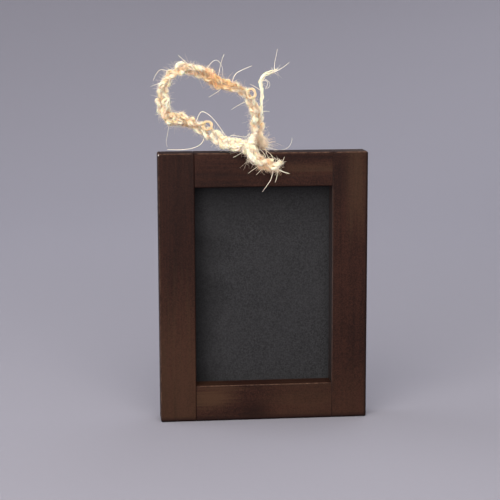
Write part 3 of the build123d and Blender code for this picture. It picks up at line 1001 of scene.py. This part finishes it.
class SLATEBOARD_OT_finish_dowels(bpy.types.Operator):
    """Finish the dowels in the corner joints"""

    bl_idname = "slateboard.finish_dowels"
    bl_label = "Finish Dowels"

    def execute(self, context):
        names = [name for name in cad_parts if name.endswith("_dowels")]
        finish_nodes(bare_beech(context.scene.board_finish), *names)
        return {"FINISHED"}


class SLATEBOARD_OT_finish_panel(bpy.types.Operator):
    """Finish the slate, its backing card and the framer's points"""

    bl_idname = "slateboard.finish_panel"
    bl_label = "Finish Panel"

    def execute(self, context):
        board = context.scene.board_finish
        finish_nodes(honed_slate(board), "slate_panel")
        finish_nodes(pulp_card(board), "backing_card")
        finish_nodes(zinc_steel(), "framers_points")
        return {"FINISHED"}


class SLATEBOARD_OT_tie_strand(bpy.types.Operator):
    """Make the strand that ties the two legs together"""

    bl_idname = "slateboard.tie_strand"
    bl_label = "Tie Strand"

    def execute(self, context):
        twine = context.scene.twine_work
        roved = roving(*tie_yarns(), turn=3.2 * twine.ply_turn, strands=9, seed=21)
        yarn_piece("twine_tie", roved, hemp("hemp_tie", twine), depth=0.85, pale=0.85)
        return {"FINISHED"}


class SLATEBOARD_OT_loose_loops(bpy.types.Operator):
    """Make the two loops of yarn that stand open on the chain"""

    bl_idname = "slateboard.loose_loops"
    bl_label = "Loose Loops"

    def execute(self, context):
        twine = context.scene.twine_work
        points, faces, lay = [], [], []
        for number, loop in enumerate(LOOSE_LOOPS):
            line = loose_loop(*loop)
            diameter = LOOP_SWELL * twine.yarn * (1.0 + SLUB * np.sin(line.along / LOOP_SLUB_RUN))
            roved = roving(line, diameter, twine.ply_turn, strands=5, seed=41 + number)
            faces += shifted(roved[1], sum(len(part) for part in points))
            points.append(roved[0])
            lay.append(roved[2])
        roved = np.concatenate(points), faces, np.concatenate(lay)
        yarn_piece("twine_loose_loops", roved, hemp("hemp_loops", twine), depth=0.50, pale=0.48)
        return {"FINISHED"}


class SLATEBOARD_OT_tail_bundle(bpy.types.Operator):
    """Make the yarn ends that are bundled in the tail and fray at its tip"""

    bl_idname = "slateboard.tail_bundle"
    bl_label = "Tail Bundle"

    def execute(self, context):
        twine = context.scene.twine_work
        line, diameter = tail_yarns()
        fray = np.interp(line.share, *TAIL_FRAY)
        roved = roving(line, diameter, turn=5.0 * twine.ply_turn, strands=11, seed=24, fray=fray)
        # Painted light: the tail paler on its top and tan underneath
        pale = np.interp(roved[0][:, 2], *TAIL_PALE)
        yarn_piece("twine_tail_bundle", roved, hemp("hemp_bundle", twine), depth=0.75, pale=pale)
        return {"FINISHED"}


class SLATEBOARD_OT_yarn_end(bpy.types.Operator):
    """Make the loose yarn end that stands beside the right leg"""

    bl_idname = "slateboard.yarn_end"
    bl_label = "Loose Yarn End"

    def execute(self, context):
        twine = context.scene.twine_work
        line = Strand(spline_points(YARN_END_ROUTE, 12))
        diameter = YARN_END_DIAMETER * np.interp(line.share, *YARN_END_SWELL)
        fray = np.interp(line.share, *YARN_END_FRAY)
        roved = roving(line, diameter, turn=4.0 * twine.ply_turn, strands=6, seed=23, fray=fray)
        pale = np.interp(np.linalg.norm(roved[0] - line.points[0], axis=1), *YARN_END_PALE)
        piece = yarn_piece("yarn_end_plies", roved, hemp("hemp_end", twine), depth=0.85, pale=pale)
        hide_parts("yarn_end")
        return {"FINISHED"}


class SLATEBOARD_OT_fray(bpy.types.Operator):
    """Make the fuzz of the chain, its frayed places and the long stray fibres"""

    bl_idname = "slateboard.fray"
    bl_label = "Fray"

    def execute(self, context):
        twine = context.scene.twine_work
        material = loose_fibre(twine)
        draw = np.random.default_rng(3)
        fuzz, hair = [], []
        for number, (yarn, diameter) in enumerate((chain_yarn(), tie_yarns(), tail_yarns())):
            count = int(twine.fuzz * SQUARE_CENTIMETRES * math.pi * diameter.mean() * yarn.length)
            fuzz.append(fuzz_lines(yarn, diameter, count, 11 + number))
            hair.append(loose_hair(yarn, diameter, count // FUZZ_PER_HAIR, 31 + number))
        for name, lines in (("twine_fuzz", np.concatenate(fuzz)), ("twine_hair", np.concatenate(hair))):
            lines = lines[outside_board(lines)]
            pale = work_at(near_twine(lines[:, 0])[1])[2]
            fibre_piece(name, lines, draw.uniform(*FIBRE_RADII, len(lines)), pale, material)
        lines = np.concatenate([brush(draw, *place[:5]) for place in BRUSHES])
        pale = np.concatenate([np.full(place[3], place[5]) for place in BRUSHES])
        clear = outside_board(lines)
        radius = draw.uniform(*BRUSH_RADII, clear.sum())
        fibre_piece("twine_brushes", lines[clear], radius, pale[clear], material)
        strays, radii = [], []
        for radius, route in STRAYS:
            line = Strand(spline_points(metres(route), 8))
            strays.append(line.read(line.points, np.linspace(0.0, line.length, STRAY_POINTS)))
            radii.append(radius / 1000.0)
        fibre_piece("twine_strays", np.array(strays), radii, 0.95, material)
        return {"FINISHED"}


class SLATEBOARD_OT_work_chain(bpy.types.Operator):
    """Work the yarn into the chain of the hanging loop and its tail"""

    bl_idname = "slateboard.work_chain"
    bl_label = "Work Chain"

    def execute(self, context):
        twine = context.scene.twine_work
        yarn, diameter = chain_yarn()
        roved = roving(yarn, diameter, twine.ply_turn, strands=6, seed=22)
        depth, share = near_twine(roved[0])
        clear = openness(roved[0], yarn, diameter)
        # Painted shade: the yarn tan toward the chain's middle and in its crevices
        depth = np.minimum(depth / CHAIN_SURFACE, 1.0) * (CREVICE_DEPTH + (1.0 - CREVICE_DEPTH) * clear)
        piece = yarn_piece("twine_chain", roved, hemp("hemp_chain", twine), depth, work_at(share)[2])
        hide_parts("twine_loop", "twine_tail", "twine_back_leg")
        twine_line().points.tolist()
        return {"FINISHED"}


class SLATEBOARD_OT_set_stage(bpy.types.Operator):
    """Set up the floor, the lights and the camera"""

    bl_idname = "slateboard.set_stage"
    bl_label = "Set Stage"

    def execute(self, context):
        studio = context.scene.studio
        self.sweep(studio)
        for name, place, target, size, colour in LIGHTS:
            light = bpy.data.lights.new(name, "AREA")
            light.size = size
            light.energy = getattr(studio, name + "_power")
            light.color = colour
            lamp = add_object(name, light)
            lamp.location = place
            lamp.rotation_euler = (Vector(target) - Vector(place)).to_track_quat("-Z", "Y").to_euler()
        world = bpy.data.worlds.new("studio")
        world.use_nodes = True
        world.node_tree.nodes["Background"].inputs["Color"].default_value = (*AIR_COLOUR, 1.0)
        world.node_tree.nodes["Background"].inputs["Strength"].default_value = AIR_STRENGTH
        context.scene.world = world
        context.scene.view_settings.view_transform = "Standard"
        self.camera(context, studio)
        return {"FINISHED"}

    def sweep(self, studio):
        """A round floor that curves up into a wall on every side."""
        flat, bend, wall = 1.0, 1.3, 2.4
        rings, steps, sides = 6, 12, 96
        profile = [(flat * ring / rings, 0.0) for ring in range(1, rings + 1)]
        for step in range(1, steps + 1):
            angle = math.pi / 2 * step / steps
            profile.append((flat + bend * math.sin(angle), bend * (1.0 - math.cos(angle))))
        profile.append((flat + bend, wall))
        points = [(0.0, 0.0, 0.0)]
        for radius, height in profile:
            for side in range(sides):
                angle = 2.0 * math.pi * side / sides
                points.append((radius * math.cos(angle), radius * math.sin(angle), height))
        faces = [(0, 1 + side, 1 + (side + 1) % sides) for side in range(sides)]
        for low in range(1, 1 + sides * (len(profile) - 1), sides):
            for side in range(sides):
                beside = (side + 1) % sides
                faces.append((low + side, low + sides + side, low + sides + beside, low + beside))
        finish = Finish("sweep_paper", Roughness=0.9, Specular_IOR_Level=0.2)
        tone = finish.noise(finish.place(), 300.0, 3.0)
        finish.surface(Base_Color=finish.mix(tone, shade(studio.floor, 0.97), studio.floor))
        smooth_mesh("sweep", points, faces, finish.material)

    def camera(self, context, studio):
        """The photograph's view: from the left and a little above."""
        level = math.cos(studio.elevation)
        ahead = Vector((math.sin(studio.azimuth) * level, math.cos(studio.azimuth) * level,
                        -math.sin(studio.elevation)))
        lens = bpy.data.cameras.new("camera")
        lens.lens = studio.lens
        lens.sensor_width = 36.0
        camera = add_object("camera", lens)
        camera.location = Vector(CAMERA_AIM) - studio.distance * ahead
        turned = ahead.to_track_quat("-Z", "Y") @ Quaternion((0.0, 0.0, 1.0), studio.roll)
        camera.rotation_euler = turned.to_euler()
        context.scene.camera = camera


class SLATEBOARD_PT_sidebar(bpy.types.Panel):
    """The board's steps and settings"""

    bl_idname = "SLATEBOARD_PT_sidebar"
    bl_label = "Slate Writing Board"
    bl_space_type = "VIEW_3D"
    bl_region_type = "UI"
    bl_category = "Slate Board"

    def draw(self, context):
        """List the steps, then the settings of each group."""
        for operator in OPERATORS:
            self.layout.operator(operator.bl_idname)
        for group in (context.scene.board_finish, context.scene.twine_work, context.scene.studio):
            box = self.layout.box()
            for name in group.__annotations__:
                box.prop(group, name)


SETTINGS = {"board_finish": BoardFinish, "twine_work": TwineWork, "studio": Studio}
OPERATORS = (
    SLATEBOARD_OT_stain_frame,
    SLATEBOARD_OT_finish_dowels,
    SLATEBOARD_OT_finish_panel,
    SLATEBOARD_OT_tie_strand,
    SLATEBOARD_OT_loose_loops,
    SLATEBOARD_OT_tail_bundle,
    SLATEBOARD_OT_yarn_end,
    SLATEBOARD_OT_fray,
    SLATEBOARD_OT_work_chain,
    SLATEBOARD_OT_set_stage,
)


def register():
    """Add the settings, the steps and the panel."""
    for name, group in SETTINGS.items():
        bpy.utils.register_class(group)
        setattr(bpy.types.Scene, name, PointerProperty(type=group))
    for made in (*OPERATORS, SLATEBOARD_PT_sidebar):
        bpy.utils.register_class(made)


def unregister():
    """Take them away again."""
    for made in (SLATEBOARD_PT_sidebar, *reversed(OPERATORS)):
        bpy.utils.unregister_class(made)
    for name, group in SETTINGS.items():
        delattr(bpy.types.Scene, name)
        bpy.utils.unregister_class(group)


def main():
    """Finish the board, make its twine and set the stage."""
    register()
    bpy.ops.slateboard.stain_frame()
    bpy.ops.slateboard.finish_dowels()
    bpy.ops.slateboard.finish_panel()
    bpy.ops.slateboard.tie_strand()
    bpy.ops.slateboard.loose_loops()
    bpy.ops.slateboard.tail_bundle()
    bpy.ops.slateboard.yarn_end()
    bpy.ops.slateboard.fray()
    bpy.ops.slateboard.work_chain()
    bpy.ops.slateboard.set_stage()


if __name__ == "__main__":
    main()
